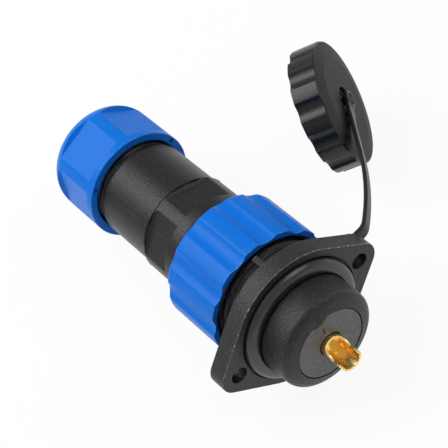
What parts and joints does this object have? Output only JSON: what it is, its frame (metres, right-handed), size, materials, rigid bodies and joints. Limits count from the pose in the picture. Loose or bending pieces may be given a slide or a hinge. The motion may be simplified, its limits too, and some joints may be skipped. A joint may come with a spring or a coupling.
{
  "type": "waterproof circular connector",
  "caption": "Waterproof circular power connector: flange receptacle with strapped dust cap, mated with a cable plug that has a fluted coupling ring and a cable gland nut.",
  "frame": {"origin": "centre of the flange's panel face, on the connector's axis, midway between the two mounting holes", "axes": "+Y along the connector's axis towards the plug and its cable, +X towards the mounting hole that holds the strap, +Z towards the index lug"},
  "size_m": [0.0903, 0.1099, 0.0396],
  "materials": {
    "black_plastic": "fine satin moulding",
    "cap_plastic": "fine satin moulding",
    "insulator_plastic": "smooth satin",
    "blue_plastic": "smooth satin gloss",
    "gold_plate": "polished gold plating",
    "seal_rubber": "smooth moulded rubber",
    "strap_rubber": "smooth flexible moulding"
  },
  "bodies": {
    "receptacle": {"receptacle_shell": "black_plastic", "panel_gasket": "seal_rubber", "receptacle_insert": "insulator_plastic", "socket_contact": "gold_plate", "contact_band": "gold_plate", "socket_entry_cap": "insulator_plastic", "receptacle_insert_ring": "insulator_plastic", "cap_strap": "strap_rubber"},
    "cap": {"dust_cap": "cap_plastic", "cap_seal": "seal_rubber"},
    "plug": {"plug_shell": "black_plastic", "interface_seal": "seal_rubber", "plug_insert": "insulator_plastic", "pin_contact": "gold_plate", "pin_retainer": "insulator_plastic", "plug_insert_ring": "insulator_plastic", "gland_washer": "insulator_plastic", "gland_seal": "seal_rubber"},
    "ring": {"coupling_ring": "blue_plastic"},
    "clamp": {"gland_clamp": "insulator_plastic"},
    "nut": {"gland_nut": "blue_plastic"}
  },
  "joints": [
    {"name": "plug_slide", "type": "slide", "parent": "receptacle", "child": "plug", "axis": [0, 1, 0], "range_m": [0, 0.009]},
    {"name": "ring_turn", "type": "hinge", "parent": "plug", "child": "ring", "pos_m": [0, 0.02, 0], "axis": [0, 1, 0], "range_deg": [0, 1080]},
    {"name": "gland_slide", "type": "slide", "parent": "plug", "child": "clamp", "axis": [0, 1, 0], "range_m": [0, 0.0075]},
    {"name": "nut_turn", "type": "hinge", "parent": "clamp", "child": "nut", "pos_m": [0, 0.08, 0], "axis": [0, 1, 0], "range_deg": [0, 1800]},
    {"name": "cap_spin", "type": "hinge", "parent": "receptacle", "child": "cap", "pos_m": [0.05474, 0.04053, 0], "axis": [0.7806, -0.5957, 0.1891], "continuous": true}
  ],
  "couplings": [
    {"joint": "ring_turn", "follows": "plug_slide", "rad_per_m": 2094.4},
    {"joint": "gland_slide", "follows": "nut_turn", "m_per_rad": 0.00023873}
  ]
}
